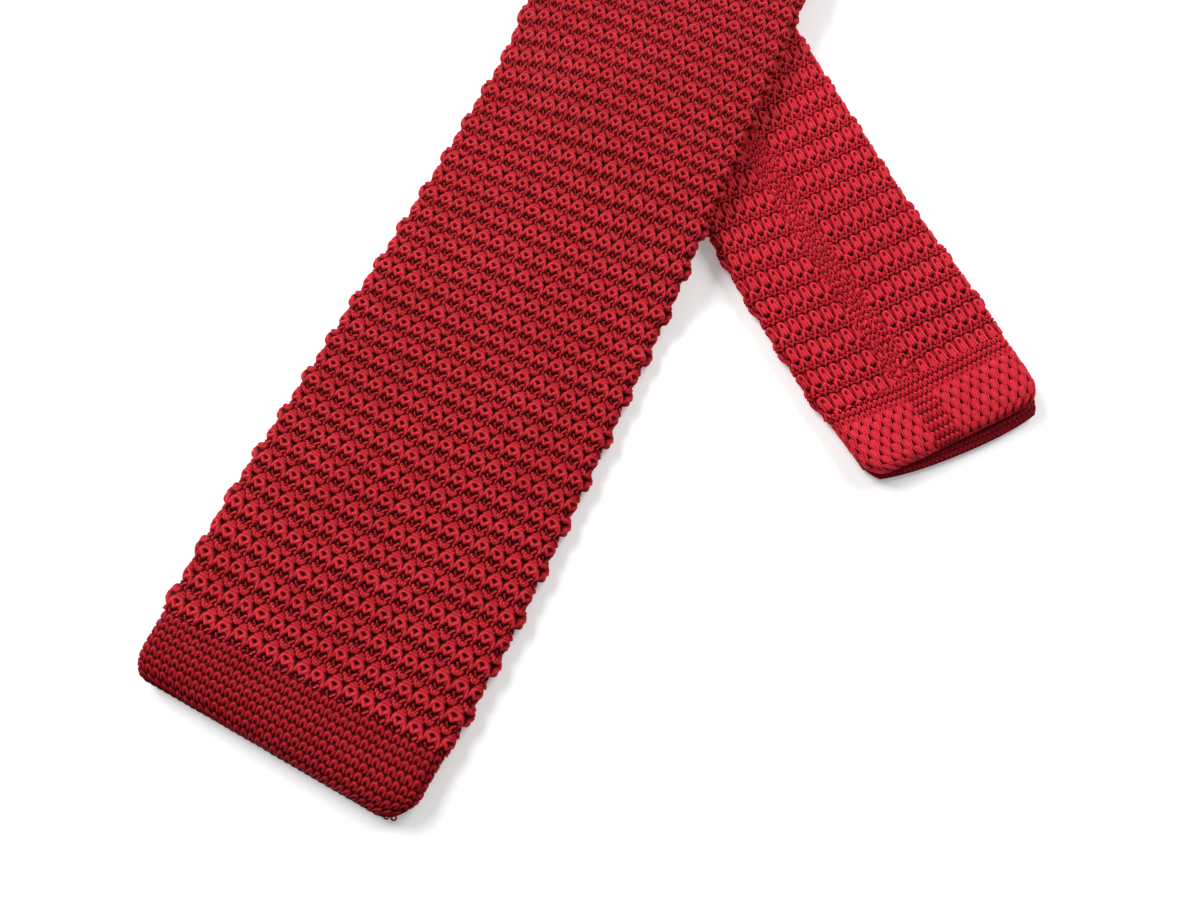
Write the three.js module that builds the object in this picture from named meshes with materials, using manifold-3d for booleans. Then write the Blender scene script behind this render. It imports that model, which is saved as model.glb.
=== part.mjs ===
// A knitted necktie lying flat on a table.
// It is one long flattened tube of knitting with square ends. The wide blade lies over the narrow
// tail, and the neck band runs round between them as a plain flat loop.
// Millimetres, +Z up, +Y from the two ends toward the neck loop, +X to the right.
import * as THREE from 'three';
import Module from 'manifold-3d';

const wasm = await Module();
wasm.setup();

// Lengths along the tie
const total_length = 1460;
const blade_length = 560;
const tail_length = 300;
const blade_band_length = 13.3;
const tail_band_length = 12.4;
const piece_gap = 0.3;

// Widths of the flattened tube
const blade_width = 60;
const neck_width = 33;
const tail_width = 41.5;
const blade_corner = 2.8;
const tail_corner = 3.4;

// The knitted wall and the slit inside the flattened tube
const cloth_thick = 1.35;
const slit_height = 0.4;
const slit_margin = 2.2;
const band_thick = 4.6;
const band_slit_height = 0.5;

// Cross ribs, one to each row of knitting, and the scalloped edges that their ends make
const rib_rise = 0.4;
const blade_rib_pitch = 4.7;
const neck_rib_pitch = 6.3;
const tail_rib_pitch = 5.75;
const blade_scallop = 0.75;
const tail_scallop = 0.4;

// How the two ends lie on the table
const blade_heading = 25.83;
const tail_heading = -26.52;
const ends_apart_x = 126.2;
const ends_apart_y = 56.8;
const ribbed_blade_length = 228;
const ribbed_tail_length = 172;
const crossing_clearance = 0.5;
const crossing_margin = 6;
const drape_ramp = 17;
const turn_sharpness = 3;

// Shape of the blade and the tail: at is a share of the piece's length from its tip, full is how
// far its width has come from the neck width to the full width, and sway is how far its centre
// lies to the right of the straight line, as a share of the full width.
const blade_shape = [
  { at: 0.00, full: 0.900, sway: 0.006 },
  { at: 0.06, full: 1.000, sway: 0.006 },
  { at: 0.20, full: 0.920, sway: 0.003 },
  { at: 0.26, full: 0.890, sway: -0.014 },
  { at: 0.32, full: 0.860, sway: -0.046 },
  { at: 0.44, full: 0.790, sway: -0.040 },
  { at: 0.60, full: 0.620, sway: 0.000 },
  { at: 0.80, full: 0.240, sway: 0.000 },
  { at: 0.92, full: 0.040, sway: 0.000 },
  { at: 1.00, full: 0.000, sway: 0.000 },
];
const tail_shape = [
  { at: 0.00, full: 0.740, sway: -0.020 },
  { at: 0.03, full: 0.840, sway: -0.022 },
  { at: 0.07, full: 1.000, sway: -0.030 },
  { at: 0.16, full: 0.960, sway: -0.048 },
  { at: 0.24, full: 0.950, sway: -0.036 },
  { at: 0.33, full: 0.950, sway: -0.012 },
  { at: 0.50, full: 0.860, sway: 0.006 },
  { at: 0.80, full: 0.260, sway: 0.000 },
  { at: 1.00, full: 0.000, sway: 0.000 },
];

// Outer form of a folded end: at is a share of the band's length from the tip, corner is how much
// of the corner radius is missing at each side, low and high are shares of the band's thickness.
const end_form = [
  { at: 0.00, corner: 1.00, low: 0.32, high: 0.62 },
  { at: 0.06, corner: 0.45, low: 0.10, high: 0.88 },
  { at: 0.20, corner: 0.06, low: 0.00, high: 1.00 },
  { at: 0.55, corner: 0.00, low: 0.00, high: 0.98 },
  { at: 1.00, corner: 0.00, low: 0.00, high: 0.84 },
];

// The ring of points round one section: across is a share of the half width, up of the thickness.
const outer_ring = [
  { across: -1.00, up: 0.5 },
  { across: -0.93, up: 1.0 },
  { across: -0.40, up: 1.0 },
  { across: 0.40, up: 1.0 },
  { across: 0.93, up: 1.0 },
  { across: 1.00, up: 0.5 },
  { across: 0.93, up: 0.0 },
  { across: 0.40, up: 0.0 },
  { across: -0.40, up: 0.0 },
  { across: -0.93, up: 0.0 },
];
const slit_ring = [
  { across: -1.0, up: 1.0 },
  { across: -0.4, up: 1.0 },
  { across: 0.4, up: 1.0 },
  { across: 1.0, up: 1.0 },
  { across: 1.0, up: 0.0 },
  { across: 0.4, up: 0.0 },
  { across: -0.4, up: 0.0 },
  { across: -1.0, up: 0.0 },
];

// A tube that lies flat all along needs no points in the middle of its section.
const flat_ring = outer_ring.filter((corner) => Math.abs(corner.across) > 0.5);
const flat_slit_ring = slit_ring.filter((corner) => Math.abs(corner.across) > 0.5);

const tube_thick = 2 * cloth_thick + slit_height;
const neck_length = total_length - blade_length - tail_length;

function smooth(share) {
  const t = THREE.MathUtils.clamp(share, 0, 1);
  return t * t * (3 - 2 * t);
}

// The value of one column of a table at a share of the length, eased between the rows.
function column(table, name, at) {
  let row = 0;
  while (row < table.length - 2 && at > table[row + 1].at) {
    row += 1;
  }
  const a = table[row];
  const b = table[row + 1];
  const share = THREE.MathUtils.clamp((at - a.at) / (b.at - a.at), 0, 1);
  return THREE.MathUtils.lerp(a[name], b[name], share);
}

// The centreline. Both ends run straight, and one smooth turn joins them. The turn is sharpest at
// its top. Its length and the two straight lengths are the three unknowns that make the ends meet
// the turn at the tie's full length.
function makeRoute() {
  const steps = 1200;
  const start = THREE.MathUtils.degToRad(90 - blade_heading);
  const end = THREE.MathUtils.degToRad(270 - tail_heading);
  const weights = [];
  let weight_sum = 0;
  for (let i = 0; i < steps; i += 1) {
    const bend = Math.sin(Math.PI * (i + 0.5) / steps) ** turn_sharpness;
    weights.push(bend);
    weight_sum += bend;
  }
  const turn = [new THREE.Vector2(0, 0)];
  const headings = [start];
  for (const bend of weights) {
    const before = headings[headings.length - 1];
    const after = before + (end - start) * bend / weight_sum;
    const middle = (before + after) / 2;
    const last = turn[turn.length - 1];
    turn.push(new THREE.Vector2(last.x + Math.cos(middle) / steps, last.y + Math.sin(middle) / steps));
    headings.push(after);
  }
  const chord = turn[steps];
  const closing = new THREE.Matrix3(
    Math.cos(start), chord.x, Math.cos(end),
    Math.sin(start), chord.y, Math.sin(end),
    1, 1, 1,
  );
  const lengths = new THREE.Vector3(ends_apart_x, ends_apart_y, total_length);
  lengths.applyMatrix3(closing.invert());
  const blade_straight = lengths.x;
  const turn_length = lengths.y;
  const turn_start = new THREE.Vector2(Math.cos(start), Math.sin(start)).multiplyScalar(blade_straight);
  const turn_end = turn_start.clone().addScaledVector(chord, turn_length);
  return function at(s) {
    const share = (s - blade_straight) / turn_length;
    if (share <= 0) {
      const point = new THREE.Vector2(Math.cos(start), Math.sin(start)).multiplyScalar(s);
      return { point, heading: start };
    }
    if (share >= 1) {
      const past = s - blade_straight - turn_length;
      const way = new THREE.Vector2(Math.cos(end), Math.sin(end));
      return { point: turn_end.clone().addScaledVector(way, past), heading: end };
    }
    const step = Math.min(Math.floor(share * steps), steps - 1);
    const rest = share * steps - step;
    const point = turn[step].clone().lerp(turn[step + 1], rest);
    point.multiplyScalar(turn_length).add(turn_start);
    return { point, heading: THREE.MathUtils.lerp(headings[step], headings[step + 1], rest) };
  };
}

const route = makeRoute();
const tail_tip = route(total_length);

// Width and sideways sway of the tube at a length from the blade's tip.
function outline(s) {
  const from_tail = total_length - s;
  if (s < blade_length) {
    const at = s / blade_length;
    return {
      width: THREE.MathUtils.lerp(neck_width, blade_width, column(blade_shape, 'full', at)),
      sway: blade_width * column(blade_shape, 'sway', at),
    };
  }
  if (from_tail < tail_length) {
    const at = from_tail / tail_length;
    return {
      width: THREE.MathUtils.lerp(neck_width, tail_width, column(tail_shape, 'full', at)),
      sway: -tail_width * column(tail_shape, 'sway', at),
    };
  }
  return { width: neck_width, sway: 0 };
}

// How high the blade is carried where it lies over the tail.
function carried(s, x, y) {
  if (s > blade_length) {
    return 0;
  }
  const away_x = x - tail_tip.point.x;
  const away_y = y - tail_tip.point.y;
  const from_centre = Math.abs(away_x * Math.sin(tail_tip.heading) - away_y * Math.cos(tail_tip.heading));
  const past = from_centre - tail_width / 2 - crossing_margin;
  const height = tube_thick + rib_rise + crossing_clearance;
  return height * (1 - smooth(past / drape_ramp));
}

// One closed ring of points across the tube at a station.
function ring(station, shape) {
  const { point, heading } = route(station.s);
  const { width, sway } = outline(station.s);
  const points = [];
  for (const corner of shape) {
    const grow = corner.across < 0 ? station.left : station.right;
    const across = sway + corner.across * (width / 2 + grow);
    const x = point.x + across * Math.sin(heading);
    const y = point.y - across * Math.cos(heading);
    const z = THREE.MathUtils.lerp(station.low, station.high, corner.up) + carried(station.s, x, y);
    points.push([x, y, z]);
  }
  return points;
}

// A closed solid through a row of rings that all have the same number of points.
function loft(rings) {
  const count = rings[0].length;
  const corners = [];
  for (let i = 0; i + 1 < rings.length; i += 1) {
    for (let j = 0; j < count; j += 1) {
      const a = i * count + j;
      const b = i * count + (j + 1) % count;
      corners.push(a, b, b + count, a, b + count, a + count);
    }
  }
  const last = (rings.length - 1) * count;
  for (let j = 1; j + 1 < count; j += 1) {
    corners.push(0, j + 1, j);
    corners.push(last, last + j, last + j + 1);
  }
  return new wasm.Manifold(new wasm.Mesh({
    numProp: 3,
    vertProperties: new Float32Array(rings.flat(2)),
    triVerts: new Uint32Array(corners),
  }));
}

function mesh(name, solid, colour) {
  const found = solid.getMesh();
  const geometry = new THREE.BufferGeometry();
  geometry.setAttribute('position', new THREE.BufferAttribute(found.vertProperties, 3));
  geometry.setIndex(new THREE.BufferAttribute(found.triVerts, 1));
  geometry.computeVertexNormals();
  const material = new THREE.MeshStandardMaterial({ color: colour, roughness: 0.8, metalness: 0 });
  const made = new THREE.Mesh(geometry, material);
  made.name = name;
  return made;
}

// Stations of a stretch of the tube. A ribbed stretch has a station on every ridge and in every
// groove, and a plain one has a station on every ridge. The ridges reach out to the left and to
// the right by turns, which makes the scalloped edges.
function ribStations(from, to, pitch, scallop, ribbed) {
  const ribs = Math.max(2, Math.round((to - from) / pitch));
  const half = (to - from) / ribs / 2;
  const stations = [];
  for (let i = 0; i <= 2 * ribs; i += 1) {
    const s = from + i * half;
    const ridge = i % 2 === 1;
    const turn = i % 4 === 1 ? 1 : -1;
    if (ridge) {
      stations.push({
        s,
        left: scallop * turn,
        right: -scallop * turn,
        low: 0,
        high: tube_thick + rib_rise,
      });
    } else if (ribbed(s) || i === 0 || i === 2 * ribs) {
      stations.push({ s, left: -scallop, right: -scallop, low: 0, high: tube_thick });
    }
  }
  return stations;
}

// The long slit inside the flattened tube, open at both ends. Where the blade is carried it takes
// a station at each ridge, and elsewhere it is straight enough for one at every third ridge.
function slit(stations) {
  const first = stations[0].s;
  const last = stations[stations.length - 1].s;
  const ridges = stations.filter((station) => station.high > tube_thick);
  const kept = ridges.filter((station, i) => station.s < ribbed_blade_length || i % 3 === 0);
  const inner = kept.map((station) => station.s);
  const places = [first - 1, first, ...inner, last, last + 1];
  return places.map((s) => ({
    s,
    left: -slit_margin,
    right: -slit_margin,
    low: cloth_thick,
    high: cloth_thick + slit_height,
  }));
}

function tube(name, stations, outer_shape, slit_shape, colour) {
  const outer = loft(stations.map((station) => ring(station, outer_shape)));
  const inner = loft(slit(stations).map((station) => ring(station, slit_shape)));
  return mesh(name, outer.subtract(inner), colour);
}

// A folded end: rounded and closed at the tip, open where it meets the tube.
function endBand(name, tip, open, corner, colour) {
  const length = Math.abs(open - tip);
  const way = Math.sign(open - tip);
  const stations = end_form.map((row) => ({
    s: tip + way * row.at * length,
    left: -corner * row.corner - blade_scallop,
    right: -corner * row.corner - blade_scallop,
    low: band_thick * row.low,
    high: band_thick * row.high,
  }));
  const slit_low = cloth_thick + (slit_height - band_slit_height) / 2;
  const slit_places = [tip + way * 0.3 * length, open + way];
  const slit_stations = slit_places.map((s) => ({
    s,
    left: -slit_margin - corner,
    right: -slit_margin - corner,
    low: slit_low,
    high: slit_low + band_slit_height,
  }));
  if (way < 0) {
    stations.reverse();
    slit_stations.reverse();
  }
  const outer = loft(stations.map((station) => ring(station, outer_ring)));
  const inner = loft(slit_stations.map((station) => ring(station, flat_slit_ring)));
  return mesh(name, outer.subtract(inner), colour);
}

const blade_start = blade_band_length + piece_gap;
const neck_start = blade_length + piece_gap;
const neck_end = blade_length + neck_length - piece_gap;
const tail_start = total_length - tail_length;
const tail_end = total_length - tail_band_length - piece_gap;

const blade_stations = ribStations(
  blade_start,
  blade_length,
  blade_rib_pitch,
  blade_scallop,
  (s) => s < ribbed_blade_length,
);
const neck_stations = ribStations(neck_start, neck_end, neck_rib_pitch, tail_scallop, () => false);
const tail_stations = ribStations(
  tail_start,
  tail_end,
  tail_rib_pitch,
  tail_scallop,
  (s) => s > total_length - ribbed_tail_length,
);

const tie = new THREE.Group();
tie.add(endBand('blade_end_band', 0, blade_band_length, blade_corner, 0x9c1424));
tie.add(tube('blade', blade_stations, outer_ring, slit_ring, 0xb0182b));
tie.add(tube('neck_band', neck_stations, flat_ring, flat_slit_ring, 0xb0182b));
tie.add(tube('tail', tail_stations, flat_ring, flat_slit_ring, 0xc01d33));
tie.add(endBand('tail_end_band', total_length, total_length - tail_band_length, tail_corner, 0xc01d33));

// The origin is under the middle of the tie as it lies.
const box = new THREE.Box3().setFromObject(tie);
const middle = box.getCenter(new THREE.Vector3());
tie.position.set(-middle.x, -middle.y, -box.min.z);

export default tie;
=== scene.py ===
# %% [markdown]
# # A knitted necktie, lying flat
# A knit tie isn't sewn from cut cloth. One narrow tube is knitted on a round machine, pressed flat,
# and both ends are turned in, which gives it square ends. Its size and its way of lying come from
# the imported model, so this lesson starts by loading that model.

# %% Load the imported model
import math
import bmesh
import bpy
import numpy as np
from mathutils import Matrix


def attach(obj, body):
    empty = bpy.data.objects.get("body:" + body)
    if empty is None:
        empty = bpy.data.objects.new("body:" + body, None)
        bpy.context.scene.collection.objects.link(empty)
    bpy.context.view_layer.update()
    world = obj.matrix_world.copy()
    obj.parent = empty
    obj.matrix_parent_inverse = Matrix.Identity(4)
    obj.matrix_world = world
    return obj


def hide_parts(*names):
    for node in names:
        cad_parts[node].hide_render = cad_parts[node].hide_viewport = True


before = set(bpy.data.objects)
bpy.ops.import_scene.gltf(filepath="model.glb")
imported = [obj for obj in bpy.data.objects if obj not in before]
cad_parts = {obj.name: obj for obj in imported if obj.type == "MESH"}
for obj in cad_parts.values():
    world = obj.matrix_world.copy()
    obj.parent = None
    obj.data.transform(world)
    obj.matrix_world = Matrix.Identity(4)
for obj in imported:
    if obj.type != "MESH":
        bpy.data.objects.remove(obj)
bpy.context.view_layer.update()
bpy.ops.object.select_all(action="DESELECT")

# %% [markdown]
# The camera stands low over the two ends and leans only a little, with a wide lens. That is why the
# rows of knitting close to us look much larger than those at the top of the picture.

# %% Camera
bpy.ops.object.camera_add(location=(-0.01642, -0.31965, 0.1588))
camera = bpy.context.object
camera.name = "camera"
camera.rotation_euler = (math.radians(16.5), 0, 0)
camera.data.sensor_width = 36
camera.data.lens = 25.8
camera.data.clip_start = 0.01
bpy.context.scene.camera = camera
print("camera lens", camera.data.lens)

# %% [markdown]
# Node trees are long to write by hand. Here one method adds any node, with its settings first and its
# sockets after them, and a small class lets shader maths be written as plain expressions.

# %% Shader helpers
class Value:
    """One socket that carries a number, with the operators that the knit needs."""

    def __init__(self, tree, socket):
        self.tree = tree
        self.socket = socket

    def maths(self, operation, *others, first=None):
        sockets = [self if first is None else first, *others]
        return self.tree.add("ShaderNodeMath", {"operation": operation}, sockets)

    def __add__(self, other):
        return self.maths("ADD", other)

    def __sub__(self, other):
        return self.maths("SUBTRACT", other)

    def __rsub__(self, other):
        return self.maths("SUBTRACT", self, first=other)

    def __mul__(self, other):
        return self.maths("MULTIPLY", other)


class Material:
    """A material whose nodes are all added by one method."""

    def __init__(self, name):
        self.made = bpy.data.materials.new(name)
        self.made.use_nodes = True
        self.nodes = self.made.node_tree.nodes
        self.links = self.made.node_tree.links
        self.shader = self.nodes["Principled BSDF"]

    def add(self, kind, settings, sockets, output=0):
        node = self.nodes.new(kind)
        for name, setting in settings.items():
            setattr(node, name, setting)
        named = sockets if isinstance(sockets, dict) else dict(enumerate(sockets))
        for name, value in named.items():
            self.plug(node.inputs[name], value)
        return Value(self, node.outputs[output])

    def mix(self, share, without, full):
        """A colour between two others. The node's colour sockets are the seventh and the eighth."""
        colours = {"Factor": share, 6: without, 7: full}
        return self.add("ShaderNodeMix", {"data_type": "RGBA"}, colours, output=2)

    def noise(self, place, scale, detail):
        sockets = {"Vector": place, "Scale": scale, "Detail": detail}
        return self.add("ShaderNodeTexNoise", {}, sockets)

    def eased(self, value, start, end):
        """0 up to the start, 1 from the end on, and a smooth way between them."""
        sockets = {"Value": value, "From Min": start, "From Max": end}
        return self.add("ShaderNodeMapRange", {"interpolation_type": "SMOOTHSTEP"}, sockets)

    def plug(self, socket, value):
        if isinstance(value, Value):
            self.links.new(value.socket, socket)
        else:
            socket.default_value = value

    def surface(self, **sockets):
        for name, value in sockets.items():
            self.plug(self.shader.inputs[name.replace("_", " ")], value)
        return self.made


print("shader helpers ready")

# %% [markdown]
# The tie lies on a plain white table, in a pale room. Its own faint light keeps the table white
# beside the red cloth.

# %% Table and room
bpy.ops.mesh.primitive_plane_add(size=8, location=(0, 0, 0))
table = bpy.context.object
table.name = "table"
white = Material("white_table")
table.data.materials.append(
    white.surface(
        Base_Color=(0.82, 0.82, 0.82, 1),
        Roughness=0.9,
        Specular_IOR_Level=0.1,
        Emission_Color=(1, 1, 1, 1),
        Emission_Strength=0.22,
    )
)

world = bpy.data.worlds.new("soft_room")
bpy.context.scene.world = world
world.use_nodes = True
room = world.node_tree.nodes["Background"]
room.inputs["Color"].default_value = (1, 1, 1, 1)
room.inputs["Strength"].default_value = 0.30
print("table and room ready")

# %% [markdown]
# Two soft lamps stand far out at the left and the right, a little beyond the middle of the tie. So the
# upper side of each raised stitch is bright, and the shadows of both ends fall into the space between
# them. The plain "Standard" view keeps the red as deep as the yarn has it.

# %% Lamps
def soft_box(name, place, turn, size, power):
    bpy.ops.object.light_add(type="AREA", location=place, rotation=[math.radians(a) for a in turn])
    lamp = bpy.context.object
    lamp.name = name
    lamp.data.shape = "SQUARE"
    lamp.data.size = size
    lamp.data.energy = power


soft_box("window_left", place=(-0.46, 0.12, 0.42), turn=(-44, -42, 0), size=0.34, power=6.4)
soft_box("window_right", place=(0.44, 0.16, 0.42), turn=(-46, 43, 0), size=0.34, power=4.0)
bpy.context.scene.view_settings.view_transform = "Standard"
print("lamps ready")

# %% [markdown]
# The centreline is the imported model's own: two straight ends, joined by one smooth turn. All lengths
# below are millimetres, as a knitter would note them, and become metres only in the finished mesh.

# %% The tie's sizes
total_length = 1460
blade_length = 560
tail_length = 300
blade_band_length = 13.3
tail_band_length = 12.4
blade_width = 60
neck_width = 33
tail_width = 41.5
tube_thick = 3.1
rib_rise = 0.4
blade_heading = 25.83
tail_heading = -26.52
ends_apart = (126.2, 56.8)
crossing_clearance = 0.5
crossing_margin = 6
drape_ramp = 17
turn_sharpness = 3
turn_steps = 1200
blade_tip_place = (-74.3873, -326.2687)
metres = 0.001

blade_shape = {
    "at": (0.00, 0.06, 0.20, 0.26, 0.32, 0.44, 0.60, 0.80, 0.92, 1.00),
    "full": (0.900, 1.000, 0.920, 0.890, 0.860, 0.790, 0.620, 0.240, 0.040, 0.000),
    "sway": (0.006, 0.006, 0.003, -0.014, -0.046, -0.040, 0.000, 0.000, 0.000, 0.000),
}
tail_shape = {
    "at": (0.00, 0.03, 0.07, 0.16, 0.24, 0.33, 0.50, 0.80, 1.00),
    "full": (0.740, 0.840, 1.000, 0.960, 0.950, 0.950, 0.860, 0.260, 0.000),
    "sway": (-0.020, -0.022, -0.030, -0.048, -0.036, -0.012, 0.006, 0.000, 0.000),
}
print("the tie is", total_length, "mm long")

# %% [markdown]
# The turn bends gently at its ends and most in its middle, as a band of cloth does. How long the two
# straight stretches and the turn are follows from the place of both tips and the full length.

# %% The centreline
def smooth(share):
    t = np.clip(share, 0, 1)
    return t * t * (3 - 2 * t)


def way(angle):
    return np.array([np.cos(angle), np.sin(angle)])


def make_route(steps=turn_steps):
    start = math.radians(90 - blade_heading)
    end = math.radians(270 - tail_heading)
    bend = np.sin(np.pi * (np.arange(steps) + 0.5) / steps) ** turn_sharpness
    headings = start + (end - start) * np.concatenate([[0], np.cumsum(bend)]) / bend.sum()
    middles = (headings[1:] + headings[:-1]) / 2
    turn = np.concatenate([[[0, 0]], np.cumsum(way(middles).T, axis=0)]) / steps
    closing = np.array([
        [math.cos(start), turn[-1, 0], math.cos(end)],
        [math.sin(start), turn[-1, 1], math.sin(end)],
        [1, 1, 1],
    ])
    straight, turn_length, rest = np.linalg.solve(closing, [*ends_apart, total_length])
    ways = np.concatenate([[0], straight + turn_length * np.arange(steps + 1) / steps, [total_length]])
    points = way(start) * straight + turn * turn_length
    last = points[-1] + way(end) * rest
    points = np.concatenate([[[0, 0]], points, [last]]) + blade_tip_place
    headings = np.concatenate([[start], headings, [end]])

    def at(s):
        inside = np.clip(s, 0, total_length)
        over = s - inside
        heading = np.interp(inside, ways, headings)
        x = np.interp(inside, ways, points[:, 0]) + over * np.cos(heading)
        y = np.interp(inside, ways, points[:, 1]) + over * np.sin(heading)
        return x, y, heading

    return at


route = make_route()
tail_x, tail_y, tail_way = route(np.array(float(total_length)))
print("the tail's tip lies at", tail_x, tail_y)

# %% [markdown]
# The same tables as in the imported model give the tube's width along its length, and how far its
# middle strays from the centreline. Where the blade crosses the tail, the cloth is carried by it and
# comes down again beside it. The drape is a plain function, because the cloth rests on something at
# every point and nothing is left to fall.

# %% Width, sway and drape
def outline(s):
    blade_at = np.clip(s / blade_length, 0, 1)
    tail_at = np.clip((total_length - s) / tail_length, 0, 1)
    blade_full = np.interp(blade_at, blade_shape["at"], blade_shape["full"])
    tail_full = np.interp(tail_at, tail_shape["at"], tail_shape["full"])
    width = neck_width + (blade_width - neck_width) * blade_full + (tail_width - neck_width) * tail_full
    sway = blade_width * np.interp(blade_at, blade_shape["at"], blade_shape["sway"])
    sway = sway - tail_width * np.interp(tail_at, tail_shape["at"], tail_shape["sway"])
    return width, sway


def carried(s, x, y):
    from_centre = np.abs((x - tail_x) * np.sin(tail_way) - (y - tail_y) * np.cos(tail_way))
    past = from_centre - tail_width / 2 - crossing_margin
    height = tube_thick + rib_rise + crossing_clearance
    return np.where(s <= blade_length, height * (1 - smooth(past / drape_ramp)), 0)


for s in (0, 60, 200, 700, 1400):
    print("width at", s, outline(np.array(s)))

# %% [markdown]
# The stitches are drawn once, as tables. Each stroke is a length of yarn: its half thickness, how high
# its top lies, and the points that it runs through. The strokes are drawn for the right half of one
# stitch, and their mirror image gives the left half. The leaning ones have no mirror image, because
# yarn never runs quite alike on both sides. Each knit also has the width of a stitch, the height of a
# row, its lower edge, how far each row is shifted against the one before it, and the depth between
# the yarns.

# %% Stitch tables
round_stitches = 37
blade_knit = {
    "pitch": 3.25, "row": 4.67, "low": -3.3, "offset": 0.5, "base": -0.85,
    "strokes": [
        (0.62, 0.00, [(0, 0.98), (0.60, 0.90), (0.96, 0.42)]),
        (0.52, 0.02, [(0.84, 0.25), (0.08, -0.70)]),
        (0.30, -0.10, [(0.98, -0.25), (1.0, -0.55)]),
        (0.50, -0.10, [(0, 1.52), (0.70, 1.42)]),
        (0.42, -0.10, [(1.52, -0.55), (1.58, -1.35)]),
        (0.34, 0.00, [(0.66, -2.3), (0.54, -2.75), (0.15, -3.05)]),
        (0.32, -0.08, [(0.1, -2.5), (0.1, -2.7)]),
        (0.85, -0.22, [(1.50, -2.80), (1.62, -2.90)]),
    ],
    "leaning": [
        (0.32, -0.01, [(1.12, 0.50), (1.42, -0.3), (1.56, -1.05)]),
        (0.32, -0.05, [(-1.08, 0.50), (-1.20, -0.3), (-1.36, -1.05)]),
        (0.20, -0.02, [(0.98, -1.20), (0.46, -1.95)]),
        (0.15, -0.16, [(-0.64, -1.25), (-0.18, -1.85)]),
        (0.16, -0.22, [(0.72, -1.82), (0.30, -2.18)]),
        (0.23, 0.02, [(1.42, -1.78), (1.48, -2.05)]),
        (0.23, 0.00, [(-1.08, -2.05), (-1.02, -2.35)]),
    ],
}
tail_knit = {
    "pitch": 2.29, "row": 5.75, "low": -4.7, "offset": 0.5, "base": -0.85,
    "strokes": [
        (0.46, 0.00, [(0, 0.72), (0.28, 0.58), (0.50, 0.15), (0.54, -0.35)]),
        (0.45, 0.00, [(0.56, -0.6), (0.62, -1.95)]),
        (0.50, -0.01, [(0, -0.72), (0, -2.0)]),
        (0.25, -0.30, [(1.145, 0.8), (1.145, -0.6)]),
        (0.44, 0.00, [(1.145, -2.35), (0.78, -2.9), (0.64, -3.5)]),
        (0.32, -0.04, [(0, -3.35), (0, -3.5)]),
        (0.32, -0.28, [(0.2, -4.25), (0.95, -4.25)]),
    ],
    "leaning": [
        (0.20, 0.02, [(0.52, -3.98), (0.44, -4.15)]),
        (0.19, 0.00, [(-0.44, -3.98), (-0.38, -4.12)]),
        (0.21, 0.03, [(-0.10, -4.38), (0.10, -4.56)]),
        (0.19, -0.04, [(1.02, -4.15), (1.14, -4.35)]),
    ],
}
plain_knit = {
    "pitch": 1.58, "row": 1.5, "low": -0.75, "offset": 0.0, "base": -0.55,
    "strokes": [
        (0.37, 0.00, [(0, 0.32), (0.26, 0.24), (0.45, -0.08), (0.48, -0.64)]),
        (0.34, -0.07, [(0, 0.08), (0, -0.16)]),
        (0.26, -0.32, [(0.79, -0.1), (0.79, -0.5)]),
    ],
    "leaning": [],
}
lattice_knit = {
    "pitch": 2.3, "row": 1.45, "low": -0.75, "offset": 0.5, "base": -0.8,
    "strokes": [
        (0.21, 0.04, [(0.05, 0.85), (0.28, 0.3), (0.50, -0.3), (0.66, -0.75)]),
        (0.42, -0.02, [(0.80, 0.45), (0.88, -0.35)]),
        (0.42, -0.02, [(1.15, 0.55), (1.15, -0.45)]),
    ],
    "leaning": [],
}
knits = {"blade": blade_knit, "tail": tail_knit, "plain": plain_knit, "lattice": lattice_knit}
print("stitch tables", list(knits))

# %% [markdown]
# At any place, the knit is as high as the highest run of yarn there, and each run has a round top. One
# function works this out for the numbers of the mesh and for the sockets of a material, so relief and
# colour can't drift apart. Four small helpers hide how the two kinds write the same operation.

# %% Height of the yarn
yarn_steepness = 1.6


def whole(value):
    return value.maths("FLOOR") if isinstance(value, Value) else np.floor(value)


def size(value):
    return value.maths("ABSOLUTE") if isinstance(value, Value) else np.abs(value)


def held(value):
    """The value kept between 0 and 1."""
    if isinstance(value, Value):
        return value.tree.add("ShaderNodeClamp", {}, [value])
    return np.clip(value, 0, 1)


def higher(one, other):
    return one.maths("MAXIMUM", other) if isinstance(one, Value) else np.maximum(one, other)


def blend(one, other, share):
    return one + (other - one) * share


def reaching(knit):
    """Each straight run of yarn that reaches into one stitch, the rows above and below among them,
    and whether it is the same on both sides of the stitch."""
    found = []
    half = knit["pitch"] / 2
    for mirrored, strokes in ((True, knit["strokes"]), (False, knit["leaning"])):
        for radius, top, points in strokes:
            for start, end in zip(points, points[1:]):
                for up in (0, -1, 1):
                    staggered = up and knit["offset"]
                    moves = (-half, half) if staggered else (-2 * half, 0, 2 * half)
                    for move in (0,) if mirrored else moves:
                        run = []
                        for x, y in (start, end):
                            turned = half - x if mirrored and staggered else x + move
                            run.append((turned, y + up * knit["row"]))
                        low = min(y for x, y in run) - radius
                        high = max(y for x, y in run) + radius
                        left = min(x for x, y in run) - radius
                        right = max(x for x, y in run) + radius
                        in_row = low < knit["low"] + knit["row"] and high > knit["low"]
                        if in_row and left < half and right > -half:
                            found.append((mirrored, radius, top, *run))
    return found


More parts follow.
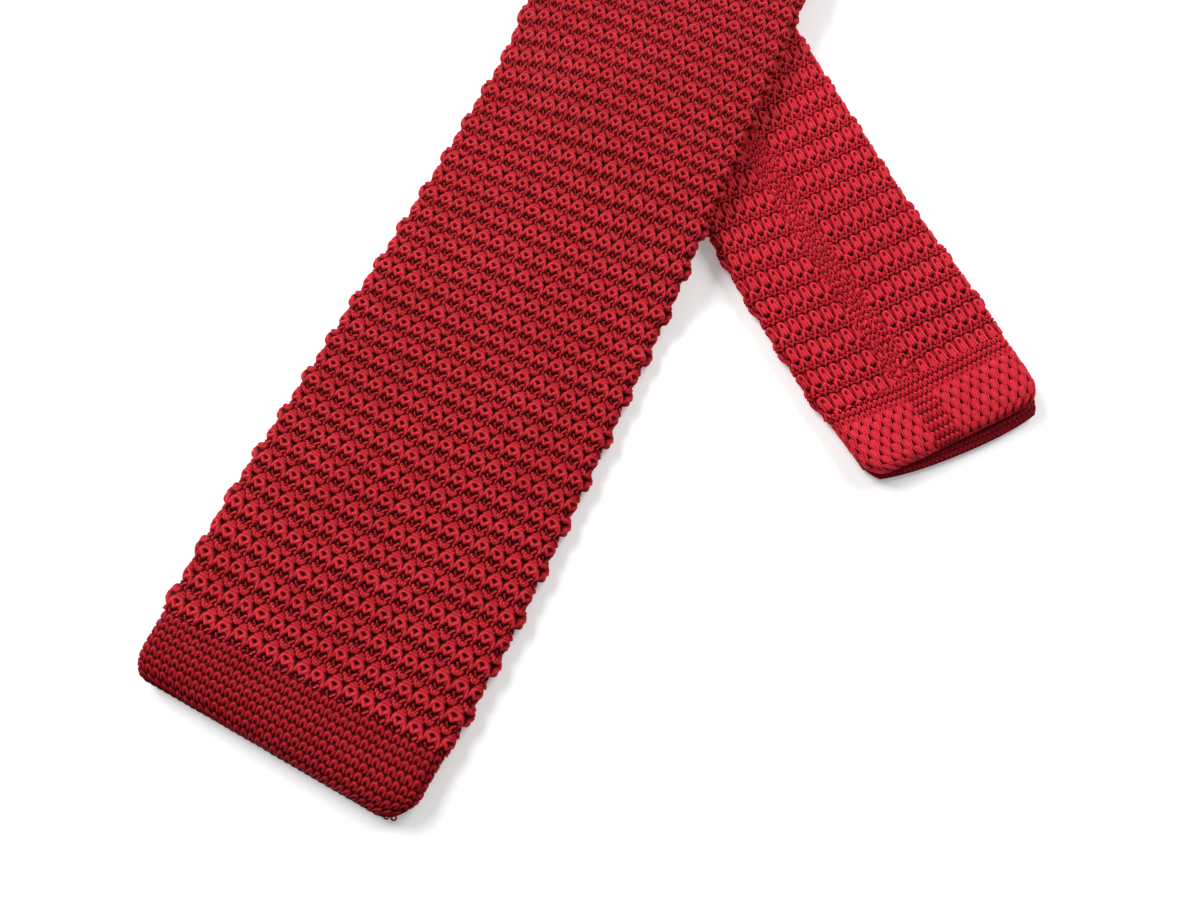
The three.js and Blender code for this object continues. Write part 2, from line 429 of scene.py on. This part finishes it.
def knit_height(knit, cell, row):
    """The height of the yarn at a place that is given in stitches round and rows along."""
    lifted = row - knit["low"] / knit["row"]
    count = whole(lifted)
    turned = cell + count * knit["offset"] + 0.5
    place = (turned - whole(turned) - 0.5) * knit["pitch"]
    y = (lifted - count) * knit["row"] + knit["low"]
    height = None
    for mirrored, radius, top, (ax, ay), (bx, by) in reaching(knit):
        x = size(place) if mirrored else place
        run_x = bx - ax
        run_y = by - ay
        long = run_x ** 2 + run_y ** 2
        along = held(x * (run_x / long) + y * (run_y / long) - (ax * run_x + ay * run_y) / long)
        gap_x = x - along * run_x - ax
        gap_y = y - along * run_y - ay
        rounded = top - (gap_x * gap_x + gap_y * gap_y) * (yarn_steepness / radius)
        height = rounded if height is None else higher(height, rounded)
    return higher(height, knit["base"])


for name, knit in knits.items():
    print(name, "stitch has", len(reaching(knit)), "runs of yarn in reach")

# %% [markdown]
# The tail also has small plain stitches, in the strip down its middle and in the last rows of its end.
# Two of them stand beside one wide stitch. They are knitted from the same yarn, so they lie about as
# deep, although their table draws them flatter.

# %% Small plain stitches
plain_per_stitch = 2
plain_per_tail_row = 4
plain_per_lattice_row = 1
plain_depth = 1.25


def with_plain(height, cell, row, rows, share):
    """The height with small plain stitches in their share of the place, so many rows to each row."""
    plain = knit_height(plain_knit, cell * plain_per_stitch, row * rows) * plain_depth
    return blend(height, plain, share)


print("plain stitches to a row of the tail:", plain_per_stitch * plain_per_tail_row)

# %% [markdown]
# Real stitches are never quite alike. Smooth random fields shift and lift them a little. The numbers
# are seeded, so the tie is knitted the same way each time.

# %% Unevenness
field_rows = 400


def smooth_field(seed):
    """A field of random numbers that runs smoothly, and round the tube without a seam."""
    grid = np.random.default_rng(seed).normal(0, 1, (field_rows, round_stitches))

    def at(cell, row):
        x = np.mod(cell, round_stitches)
        y = np.mod(row, field_rows)
        x0 = np.floor(x).astype(int)
        y0 = np.floor(y).astype(int)
        sides = (x0 % round_stitches, (x0 + 1) % round_stitches)
        lines = [
            blend(grid[line % field_rows, sides[0]], grid[line % field_rows, sides[1]], smooth(x - x0))
            for line in (y0, y0 + 1)
        ]
        return blend(*lines, smooth(y - y0))

    return at


shift_across = smooth_field(11)
shift_along = smooth_field(12)
lift_stitch = smooth_field(13)


def shifted(cell, row, by_cell, by_row, fine=(1, 1)):
    """The same place, moved a little. A knit with smaller stitches reads the fields more slowly."""
    moved_cell = cell + by_cell * shift_across(cell * fine[0], row * fine[1])
    moved_row = row + by_row * shift_along(cell * fine[0], row * fine[1])
    return moved_cell, moved_row


print("fields ready", shift_across(np.array(3.2), np.array(7.7)))

# %% [markdown]
# The pressed tube has the section of a running track: two flat faces and two round edges. The
# stitches count round it, 37 to the round, so the count passes from the front over the edge to the
# back without a seam. The back is hardly seen, so it gets fewer points.

# %% Section of the tube
front_stitches = 19.6
edge_stitches = 1.1


def section(turn, width, thick):
    """Place across and up, and the outward way, of a point at a share of the way round. The way
    starts at the left edge and runs over the front."""
    flat = width - thick
    radius = thick / 2
    corner = math.pi * radius / 2
    here = np.mod(turn, 1) * (2 * flat + 4 * corner)
    marks = [corner, corner + flat, 3 * corner + flat, 3 * corner + 2 * flat]
    left_up = here < marks[0]
    front = (here >= marks[0]) & (here < marks[1])
    back = (here >= marks[2]) & (here < marks[3])
    left_down = here >= marks[3]
    angle = math.pi / 2 - (here - marks[1]) / radius
    angle = np.where(left_up, math.pi - here / radius, angle)
    angle = np.where(left_down, 1.5 * math.pi - (here - marks[3]) / radius, angle)
    angle = np.where(front, math.pi / 2, angle)
    angle = np.where(back, -math.pi / 2, angle)
    centre = np.where(left_up | left_down, -flat / 2, flat / 2)
    centre = np.where(front, -flat / 2 + here - marks[0], centre)
    centre = np.where(back, flat / 2 - (here - marks[2]), centre)
    return centre + radius * np.cos(angle), radius * np.sin(angle), np.cos(angle), np.sin(angle)


def steps_round(per_stitch, back_per_stitch):
    """Shares of the way round, close together on the front and the edges, wider on the back."""
    front_start = -edge_stitches / round_stitches
    front_end = front_stitches / round_stitches
    back_stitches = round_stitches - front_stitches - edge_stitches
    back_steps = int(back_stitches * back_per_stitch)
    front = np.arange(front_start, front_end, 1 / per_stitch / round_stitches)
    back = np.linspace(front_end, 1 + front_start, back_steps, endpoint=False)
    return np.concatenate([front, back])


def stretch(start, end, spacing):
    return np.linspace(start, end, round((end - start) / spacing) + 1)


print("a tube section point", section(np.array(0.1), 60, 3.1))

# %% [markdown]
# At the edges the turning yarn stands out in loops, which gives a knit tie its scalloped sides. One
# large and one small loop follow each other, and the left edge is one row behind the right one.

# %% Scalloped edges
scallop_at = 0.18
large_loop = 0.40
small_loop = 0.30
small_loop_share = 0.35
scallop_inset = 0.3
scallop_stitches = 0.8


def loop_outline(from_middle, half):
    return np.sqrt(np.clip(1 - (from_middle / half) ** 2, 0, 1))


def scallop(turn, row, reach):
    """How far the edges reach out: the left edge at even rows, the right edge at odd rows."""
    from_left = np.abs(np.mod(turn + 0.5, 1) - 0.5) * round_stitches
    from_right = np.abs(np.mod(turn, 1) - 0.5) * round_stitches
    pushed = 0
    for away, count in ((from_left, row), (from_right, row + 1)):
        large = loop_outline(np.abs(np.mod(count - scallop_at + 1, 2) - 1), large_loop)
        small = loop_outline(np.abs(np.mod(count - scallop_at, 2) - 1), small_loop)
        loops = large + small_loop_share * small - scallop_inset
        pushed = pushed + loops * np.exp(-(away / scallop_stitches) ** 4)
    return reach * pushed


print("an edge loop reaches out", scallop(np.array(0.0), np.array(scallop_at), 1.0), "mm")

# %% [markdown]
# A mesh of one stretch is a grid of points, closed round the tube and capped at both ends. Every point
# is pushed out or in by the height of its stitch. The UV map counts stitches round and rows along,
# with every shift of the stitches in it, so the finish finds each stitch where the mesh has it.

# %% One stretch of the tube as a mesh
def sharp_rims(mesh):
    """Marks the rims of the two caps sharp, so the knit is shaded as if it went on."""
    shell = bmesh.new()
    shell.from_mesh(mesh)
    shell.faces.ensure_lookup_table()
    for cap in shell.faces[-2:]:
        for edge in cap.edges:
            edge.smooth = False
    shell.to_mesh(mesh)
    shell.free()


def note_places(mesh, places, quads):
    """Writes the place of each corner, in stitches and rows, to the UV map. The count round the tube
    starts again at the last column, so the far corners there get the missing stitches."""
    corners = places.reshape(-1, 2)[quads.reshape(-1, 4)].reshape(*quads.shape, 2)
    rounds = np.round((places[0, -1, 0] - places[0, 0, 0]) / round_stitches)
    corners[:, -1, 2:, 0] += rounds * round_stitches
    ends = np.concatenate([places[0, :], places[-1, ::-1]])
    uv = mesh.uv_layers.new(name="stitches")
    uv.data.foreach_set("uv", np.concatenate([corners.reshape(-1, 2), ends]).astype(np.float32).ravel())


def note_share(mesh, name, share, shape):
    """Notes a share at each point of the mesh, for the finish to read by its name."""
    shares = np.broadcast_to(share, shape).astype(np.float32)
    mesh.attributes.new(name, "FLOAT", "POINT").data.foreach_set("value", shares.ravel())


def tube_mesh(name, s_list, turn_list, stitches, thickness, inset=None):
    """A closed mesh of one stretch. stitches gives the knit at a place, thickness the low and high
    side of the tube there, and inset how much narrower than the tube it is at each edge."""
    s, turn = np.meshgrid(s_list, turn_list, indexing="ij")
    width, sway = outline(s)
    if inset is not None:
        width = width - 2 * inset(s)
    low, high = thickness(s)
    across, up, out_across, out_up = section(turn, width, high - low)
    knit = stitches(s, turn, across)
    rise = knit["height"] + rib_rise * (0.5 + 0.5 * out_up)
    across = across + sway + out_across * (rise + knit.get("push", 0))
    x, y, heading = route(s + knit.get("slide", 0))
    x = x + across * np.sin(heading)
    y = y - across * np.cos(heading)
    z = np.maximum((low + high) / 2 + up + out_up * rise, 0) + carried(s, x, y)
    points = np.stack([x, y, z], -1).reshape(-1, 3) * metres
    index = np.arange(s.size).reshape(s.shape)
    a = index[:-1, :]
    b = np.roll(a, -1, 1)
    c = index[1:, :]
    d = np.roll(c, -1, 1)
    quads = np.stack([a, c, d, b], -1)
    caps = [list(index[0, :]), list(index[-1, ::-1])]
    mesh = bpy.data.meshes.new(name)
    mesh.from_pydata(points, [], quads.reshape(-1, 4).tolist() + caps)
    mesh.polygons.foreach_set("use_smooth", [True] * (quads.size // 4) + [False] * len(caps))
    mesh.update()
    note_places(mesh, np.stack([knit["cell"], knit["row"]], -1), quads)
    note_share(mesh, "plain_share", knit.get("plain", 0.0), s.shape)
    # The share of the tail's painted light, where a stretch has it.
    note_share(mesh, "paler", knit.get("paler", 0.0), s.shape)
    sharp_rims(mesh)
    piece = bpy.data.objects.new(name, mesh)
    bpy.context.collection.objects.link(piece)
    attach(piece, "root")
    print(name, "has", quads.size // 2 + 2 * len(turn_list), "triangles")
    return piece


print("tube mesher ready")

# %% [markdown]
# Every stretch of the tube is cloth: its imported part is hidden, and it gets its yarn. Where it is
# knitted in full relief, its cloth laid flat is the tube slit open, twice as wide as it lies. The three
# coarse stretches that the picture doesn't show have hardly more surface than the smooth tube, and are
# noted as they lie pressed, once their width.


def cloth(piece, node, material):
    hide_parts(node)
    piece.data.materials.append(material)


def sides_at(place, table):
    """The low and the high side of the tube, from a table of places along it."""
    return [np.interp(place, table["at"], table[side]) for side in ("low", "high")]


print("cloth ready")

# %% [markdown]
# The yarn is a fine silky one with a soft gloss. Between the stitches little light comes back, and that
# shade is painted into the colour, which runs to a near-black red with the depth of the knit; the tops of
# the yarn are painted lighter, as painted light. Three noises give the fibres, the small blotches of the
# dye and the slow change of its shade, and a fine bump gives the strands that are finer than the mesh.
# The tail is painted paler than the blade, as painted light, and the two colours run into each other
# along the tail.

# %% Yarn
# In each set of colours the bright one is a painted light on the tops of the yarn, and the recess one a
# painted shade between the stitches.
yarn_colours = {
    "blade": {
        "bright": (0.64, 0.033, 0.050, 1),
        "middle": (0.33, 0.008, 0.013, 1),
        "recess_shade": (0.045, 0.0003, 0.001, 1),
    },
    # The blade's end is the same yarn as the blade, painted darker as painted shade, for the blade
    # darkening towards its bottom.
    "blade_hem": {
        "bright": (0.50, 0.020, 0.032, 1),
        "middle": (0.26, 0.005, 0.010, 1),
        "recess_shade": (0.06, 0.0005, 0.0015, 1),
    },
    # The tail is the same yarn as the blade, painted paler as painted light, where more light falls on it.
    "tail": {
        "bright": (0.72, 0.032, 0.055, 1),
        "middle": (0.47, 0.010, 0.020, 1),
        "recess_shade": (0.04, 0.0003, 0.001, 1),
    },
    # The lip is the same yarn, painted darker as painted shade under the front layer of the tail's end.
    "lip": {
        "bright": (0.42, 0.012, 0.026, 1),
        "middle": (0.28, 0.006, 0.015, 1),
        "recess_shade": (0.10, 0.001, 0.004, 1),
    },
}
lit_height = 0.1
fibre_depth = 0.16
blotch_depth = 0.20
shade_share = 0.5
relief_bump = 0.7
fibre_bump = 0.10


def yarn_material(name, knit, colours, plain_rows=None, runs_into=None):
    yarn = Material(name)
    stitches = yarn.add("ShaderNodeUVMap", {"uv_map": "stitches"}, {}, output="UV")
    split = {"Vector": stitches}
    cell = yarn.add("ShaderNodeSeparateXYZ", {}, split, output="X")
    row = yarn.add("ShaderNodeSeparateXYZ", {}, split, output="Y")
    height = knit_height(knit, cell, row)
    if plain_rows:
        plain = yarn.add("ShaderNodeAttribute", {"attribute_name": "plain_share"}, {}, output="Fac")
        height = with_plain(height, cell, row, plain_rows, plain)

    place = yarn.add("ShaderNodeTexCoord", {}, {}, output="Object")
    fibres = yarn.noise(place, scale=4200.0, detail=2.0)
    blotch = yarn.noise(place, scale=420.0, detail=3.0)
    shade = yarn.noise(place, scale=45.0, detail=2.0)
    depth = (height - knit["base"]) * (1 / (lit_height - knit["base"]))
    uneven = depth + (fibres - 0.5) * fibre_depth + (blotch - 0.5) * blotch_depth
    # Painted shade: the colour darkens to the recess colour with the depth of the knit. Painted light: the
    # tops of the yarn get the bright colour, with the dye's slow shade mixed in.
    out_of_painted_shade = yarn.eased(uneven, 0.05, 0.72)
    painted_top_light = yarn.eased(uneven, 0.62, 1.05)
    dye_and_top_light = held((shade - 0.5) * shade_share + painted_top_light)

    bright = colours["bright"]
    middle = colours["middle"]
    if runs_into:
        # Painted light: the tail's paler colours, which run into the blade's colours along the tail.
        paler = yarn.add("ShaderNodeAttribute", {"attribute_name": "paler"}, {}, output="Fac")
        bright = yarn.mix(paler, runs_into["bright"], bright)
        middle = yarn.mix(paler, runs_into["middle"], middle)
    colour = yarn.mix(out_of_painted_shade, colours["recess_shade"], yarn.mix(dye_and_top_light, middle, bright))
    relief = height * relief_bump + fibres * fibre_bump
    bump = yarn.add("ShaderNodeBump", {}, {"Height": relief, "Strength": 0.8, "Distance": metres})
    return yarn.surface(
        Base_Color=colour,
        Roughness=0.5,
        Normal=bump,
        Specular_IOR_Level=0.05,
    )


blade_yarn = yarn_material("blade_yarn", blade_knit, yarn_colours["blade"])
blade_hem_yarn = yarn_material("blade_hem_yarn", plain_knit, yarn_colours["blade_hem"])
tail_yarn = yarn_material(
    "tail_yarn",
    tail_knit,
    yarn_colours["tail"],
    plain_rows=plain_per_tail_row,
    runs_into=yarn_colours["blade"],
)
tail_hem_yarn = yarn_material(
    "tail_hem_yarn",
    lattice_knit,
    yarn_colours["tail"],
    plain_rows=plain_per_lattice_row,
)
lip_yarn = yarn_material("lip_yarn", plain_knit, yarn_colours["lip"])
print("yarn materials ready")

# %% [markdown]
# The blade is the wide end. Its rows rise at the left near the end, and bow upward further on, as
# knitting does that has hung from a knot. Its end is a little thicker, because it is turned in.

# %% How the blade is knitted
blade_sides = {
    "at": (0, 0.3, 0.8, 1.6, 2.7, 5.5, 11.5, 13.8, 17),
    "low": (1.1, 0.75, 0.4, 0.16, 0, 0, 0, 0, 0),
    "high": (2.1, 2.7, 3.2, 3.7, 4.0, 4.15, 3.55, 3.3, 3.1),
}
blade_rise = {
    "along": (-14, 0, 9, 14, 19, 24, 40, 58),
    "rise": (0, 0.1, 0.5, 0.8, 1.4, 2.1, 1.2, 0),
}
blade_bow = {
    "along": (80, 110, 150, 190),
    "bow": (0, 1.0, 2.4, 1.5),
}
blade_first_row = 13.9
rise_starts = 7
rise_ramp = 20
bow_half = 29
scallops_start = 11.5
scallops_ramp = 2
blade_scallop = 1.0
highest_yarn = 0.12


def blade_thickness(s):
    return sides_at(s, blade_sides)


def blade_rows(s, across):
    along = s - blade_first_row
    rise = np.interp(along, blade_rise["along"], blade_rise["rise"])
    bow = np.interp(along, blade_bow["along"], blade_bow["bow"])
    left = np.clip((-across - rise_starts) / rise_ramp, 0, 1.1)
    shift = rise * left + bow * (1 - (across / bow_half) ** 2)
    return (along - shift) / blade_knit["row"]


def blade_stitches(s, turn, across):
    cell = turn * round_stitches
    row = blade_rows(s, across)
    moved_cell, moved_row = shifted(cell, row, by_cell=0.05, by_row=0.03)
    height = knit_height(blade_knit, moved_cell, moved_row) + 0.06 * lift_stitch(cell, row)
    push = scallop(turn, row, blade_scallop) * smooth((s - scallops_start) / scallops_ramp)
    return {"height": np.minimum(height, highest_yarn), "cell": moved_cell, "row": moved_row, "push": push}


print("the blade's first row is", blade_first_row, "mm from the tip")

# %% [markdown]
# The stretch that the picture shows is knitted stitch by stitch in three pieces, and the rest of the
# blade goes on with the same stitches and fewer points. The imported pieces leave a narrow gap, and the
# cloth runs on to the middle of it.

# %% Blade
half_gap = 0.15
fine_round = steps_round(12, 3.0)
coarse_round = steps_round(5, 2.0)
blade_seam = 12.0
blade_cuts = [blade_seam, 69.5, 132.5, 202.5]
blade_spacings = [0.25, 0.27, 0.33]
coarse_spacing = 0.88
for number, spacing in enumerate(blade_spacings):
    start = blade_cuts[number]
    end = blade_cuts[number + 1]
    steps = stretch(start, end, spacing)
    piece = tube_mesh(f"blade_knit_{number + 1}", steps, fine_round, blade_stitches, blade_thickness)
    cloth(piece, "blade", blade_yarn)
steps = stretch(blade_cuts[-1], blade_length + half_gap, coarse_spacing)
piece = tube_mesh("blade_knit_4", steps, coarse_round, blade_stitches, blade_thickness)
cloth(piece, "blade", blade_yarn)

# %% [markdown]
# The neck band is the same tube, drawn narrow. It is hidden outside the picture.

# %% Neck band
neck_spacing = 1.15
neck_end = total_length - tail_length
steps = stretch(blade_length + half_gap, neck_end - half_gap, neck_spacing)
piece = tube_mesh("neck_knit", steps, coarse_round, blade_stitches, blade_thickness)
cloth(piece, "neck_band", blade_yarn)

# %% [markdown]
# The tail is the narrow end. It has been pulled more than the blade, so its stitches are long and
# slim. The left half of each row slants down toward the middle, where a narrow strip of small plain
# stitches joins the two halves.

# %% How the tail is knitted
tail_sides = {
    "at": (0, 0.3, 0.8, 1.6, 2.7, 7.3, 11.3, 13.8, 17),
    "low": (2.1, 1.7, 1.45, 1.4, 1.3, 0.2, 0, 0, 0),
    "high": (3.1, 3.5, 3.85, 4.1, 4.2, 4.0, 3.5, 3.25, 3.1),
}
tail_first_row = 38.0
slant_starts = 5
slant_ramp = 14
slant_rise = 1.5
front_middle = 0.25
front_half = 0.22
strip_middle = 2.4
strip_half = 2.9
strip_edge = 0.7
tail_scallop = 0.7
# How far along the tail its painted light grows in.
painted_light_ramp = 170


def tail_thickness(s):
    return sides_at(total_length - s, tail_sides)


def tail_slant(across):
    return slant_rise * np.clip((across - slant_starts) / slant_ramp, 0, 1.2)


def joining_strip(turn, across):
    """1 on the strip of small stitches down the middle of the front, and 0 elsewhere."""
    on_front = np.abs(np.mod(turn, 1) - front_middle) < front_half
    return on_front * smooth((strip_half - np.abs(across - strip_middle)) / strip_edge)


def tail_stitches(s, turn, across):
    cell = -turn * round_stitches
    row = (total_length - s - tail_slant(across) - tail_first_row) / tail_knit["row"] + 1
    plain = joining_strip(turn, across)
    moved_cell, moved_row = shifted(cell, row, by_cell=0.05, by_row=0.025)
    moved_cell = moved_cell + plain * 0.10 * shift_across(cell * 2.1, row * 4.3)
    moved_row = moved_row + plain * 0.06 * shift_along(cell * 2.3, row * 3.9)
    height = knit_height(tail_knit, moved_cell, moved_row)
    height = with_plain(height, moved_cell, moved_row, plain_per_tail_row, plain)
    height = height + 0.05 * lift_stitch(cell, row)
    return {
        "height": np.minimum(height, highest_yarn),
        "cell": moved_cell,
        "row": moved_row,
        "push": scallop(turn, row, tail_scallop),
        "plain": plain,
        # The share of the tail's painted light, against the blade's colours.
        "paler": smooth((s - neck_end) / painted_light_ramp),
    }


print("the tail's first row is", tail_first_row, "mm from the tip")

# %% [markdown]
# Like the blade, the tail has one fine piece in the picture and one coarse piece outside it.

# %% Tail
tail_round = steps_round(10, 2.0)
tail_seam = total_length - 13.0
tail_cut = total_length - 105
tail_coarse_spacing = 0.7
tail_spacing = 0.28
steps = stretch(neck_end - half_gap, tail_cut, tail_coarse_spacing)
piece = tube_mesh("tail_knit_2", steps, coarse_round, tail_stitches, tail_thickness)
cloth(piece, "tail", tail_yarn)
steps = stretch(tail_cut, tail_seam, tail_spacing)
piece = tube_mesh("tail_knit_1", steps, tail_round, tail_stitches, tail_thickness)
cloth(piece, "tail", tail_yarn)

# %% [markdown]
# Each end is turned in, which makes a double, rounded edge with rounded corners. The blade's is of
# small plain stitches, pulled a little askew, with its right corner cut back.

# %% The blade's end
end_corner = {
    "at": (0.0, 0.03, 0.08, 0.14, 0.22, 0.40, 1.0),
    "in": (1.0, 0.72, 0.48, 0.28, 0.12, 0.02, 0.0),
}
end_spacing = 0.2
end_sunk = 0.05
blade_hem_row = 1.47
blade_hem_start = 11.35
blade_hem_lean = 0.1


def corner_inset(share, corner, all_along):
    return corner * np.interp(share, end_corner["at"], end_corner["in"]) + all_along


def blade_hem_inset(s):
    return corner_inset(s / blade_band_length, 2.8, 0.5)


def blade_hem_stitches(s, turn, across):
    cell = turn * 2 * round_stitches
    row = (s - blade_hem_start) / blade_hem_row
    moved_cell, moved_row = shifted(cell, row, by_cell=0.05, by_row=0.05, fine=(0.5, 1))
    moved_cell = moved_cell + blade_hem_lean * row
    height = knit_height(plain_knit, moved_cell, moved_row) + 0.04 * lift_stitch(cell * 0.5, row)
    askew = (0.7 + 0.8 * across / bow_half) * smooth(1 - s / blade_band_length)
    cut_corner = 2.4 * smooth((across - 22.5) / 6.5) * smooth(1 - s / 6)
    return {
        "height": height - end_sunk,
        "cell": moved_cell,
        "row": moved_row,
        "slide": cut_corner - askew,
    }


blade_hem = tube_mesh(
    "blade_hem",
    stretch(0, blade_seam, end_spacing),
    steps_round(14, 3.0),
    blade_hem_stitches,
    blade_thickness,
    inset=blade_hem_inset,
)

# %% [markdown]
# The tail's end begins with three plain rows, and then opens to a lattice of wide stitches that leans
# with the weight of the cloth.

# %% The tail's end
tail_half = 20
lattice_start = 1.0
lattice_lean = 0.0875
plain_rows_start = 8.7
plain_rows_ramp = 0.6


def tail_hem_inset(s):
    return corner_inset((total_length - s) / tail_band_length, 3.4, 0.4)


def tail_hem_stitches(s, turn, across):
    from_tip = total_length - s
    along = from_tip - tail_slant(across)
    cell = -turn * round_stitches
    row = (along - lattice_start) / lattice_knit["row"]
    moved_cell, moved_row = shifted(cell, row, by_cell=0.05, by_row=0.04, fine=(1, 0.5))
    moved_cell = moved_cell - lattice_lean * smooth((across - 2) / 6) * row
    plain_rows = smooth((along - plain_rows_start) / plain_rows_ramp)
    plain = np.maximum(joining_strip(turn, across), plain_rows)
    height = knit_height(lattice_knit, moved_cell, moved_row)
    height = with_plain(height, moved_cell, moved_row, plain_per_lattice_row, plain)
    height = height + 0.04 * lift_stitch(cell, row)
    aside = across / tail_half
    slide = (1.8 - 0.4 * aside - 0.7 * aside ** 4) * smooth(1 - from_tip / 8)
    return {
        "height": height - end_sunk,
        "cell": moved_cell,
        "row": moved_row,
        "slide": slide,
        "plain": plain,
    }


tail_hem = tube_mesh(
    "tail_hem",
    stretch(tail_seam, total_length, end_spacing),
    steps_round(12, 2.0),
    tail_hem_stitches,
    tail_thickness,
    inset=tail_hem_inset,
)

# %% [markdown]
# The back layer of the tail's end is a little longer than the front one, so its rounded edge shows as
# a low lip, painted darker as shade under the front layer. Its upper part lies inside the end.

# %% The tail's lip
lip_sides = {
    "at": (-5.5, 0, 2.9, 3.7, 4.2),
    "low": (0.0, 0.0, 0.05, 0.25, 0.6),
    "high": (1.2, 1.5, 1.45, 1.25, 0.8),
}
lip_start = total_length + lip_sides["at"][0]
lip_end = total_length + lip_sides["at"][-1]
lip_spacing = 0.3
lip_row = 1.2
lip_relief = 0.45
lip_sunk = 0.15


def lip_thickness(s):
    return sides_at(s - total_length, lip_sides)


def lip_inset(s):
    return 1.0 + 1.8 * np.clip((s - total_length - 0.6) / 3.6, 0, 1) ** 2


def lip_stitches(s, turn, across):
    past = s - total_length
    cell = -turn * 2 * round_stitches
    row = past / lip_row
    moved_cell, moved_row = shifted(cell, row, by_cell=0.12, by_row=0.10, fine=(0.5, 1))
    height = lip_relief * knit_height(plain_knit, moved_cell, moved_row) - lip_sunk
    aside = across / tail_half
    slide = -(1.4 * aside + 1.37 * aside ** 2 + 1.13 * aside ** 4) * smooth((past + 2) / 4)
    return {"height": height, "cell": moved_cell, "row": moved_row, "slide": slide}


lip = tube_mesh(
    "tail_lip",
    stretch(lip_start, lip_end, lip_spacing),
    steps_round(12, 2.0),
    lip_stitches,
    lip_thickness,
    inset=lip_inset,
)
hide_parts("tail_end_band")
lip.data.materials.append(lip_yarn)
cloth(tail_hem, "tail_end_band", tail_hem_yarn)

# %% [markdown]
# The thread that sews the ends is thinner and duller than the yarn. Its twist shows as a fine change
# between two reds.

# %% Thread
thread_material = Material("thread")
thread_place = thread_material.add("ShaderNodeTexCoord", {}, {}, output="Object")
thread_twist = thread_material.noise(thread_place, scale=5000.0, detail=1.0)
thread_yarn = thread_material.surface(
    Base_Color=thread_material.mix(thread_twist, (0.20, 0.004, 0.012, 1), (0.45, 0.012, 0.030, 1)),
    Roughness=0.6,
    Specular_IOR_Level=0.2,
)


def thread_mesh(name, path, radius, sides=8):
    """A closed ring of thread through the points of a path."""
    path = np.array(path)
    ahead = np.roll(path, -1, 0) - np.roll(path, 1, 0)
    ahead /= np.linalg.norm(ahead, axis=1)[:, None]
    up = np.array([0, 0, 1.0])
    side = np.cross(ahead, up)
    side /= np.linalg.norm(side, axis=1)[:, None]
    top = np.cross(side, ahead)
    angle = np.arange(sides) * 2 * np.pi / sides
    ring = np.cos(angle)[None, :, None] * side[:, None] + np.sin(angle)[None, :, None] * top[:, None]
    points = (path[:, None] + radius * ring).reshape(-1, 3) * metres
    a = np.arange(len(path) * sides).reshape(len(path), sides)
    b = np.roll(a, -1, 1)
    c = np.roll(a, -1, 0)
    d = np.roll(b, -1, 0)
    mesh = bpy.data.meshes.new(name)
    mesh.from_pydata(points, [], np.stack([a, b, d, c], -1).reshape(-1, 4).tolist())
    mesh.polygons.foreach_set("use_smooth", [True] * (len(path) * sides))
    mesh.update()
    ring_piece = bpy.data.objects.new(name, mesh)
    bpy.context.collection.objects.link(ring_piece)
    return ring_piece


print("thread ready")

# %% [markdown]
# Two small loops of that thread stick out at the right corner of the blade's end, where the seam was
# finished off. Each is a flattened ring that lies on the table and rises a little on one side.

# %% Thread loops
corner_place = np.array([-51.4, -337.3])
edge_way = np.array([0.9001, -0.4357])
outward = np.array([edge_way[1], -edge_way[0]])
thread_radius = 0.15
loop_flatness = 0.8
loop_middle_height = 0.45
loop_rise = 0.22
loop_table = [
    {"along": -1.0, "out": 1.25, "reach": 0.42},
    {"along": 0.2, "out": 0.85, "reach": 0.48},
]
loop_turn = np.linspace(0, 2 * np.pi, 28, endpoint=False)
for number, loop_row in enumerate(loop_table):
    middle = corner_place + edge_way * loop_row["along"] + outward * loop_row["out"]
    around = np.stack([
        middle[0] + loop_row["reach"] * np.cos(loop_turn),
        middle[1] + loop_flatness * loop_row["reach"] * np.sin(loop_turn),
        loop_middle_height + loop_rise * np.sin(loop_turn + number),
    ], -1)
    loop = thread_mesh(f"thread_loop_{number + 1}", around, thread_radius)
    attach(loop, "root")
    loop.data.materials.append(thread_yarn)
cloth(blade_hem, "blade_end_band", blade_hem_yarn)

# %% [markdown]
# The last step brings the scene up to date.

# %% Update the scene
bpy.context.view_layer.update()
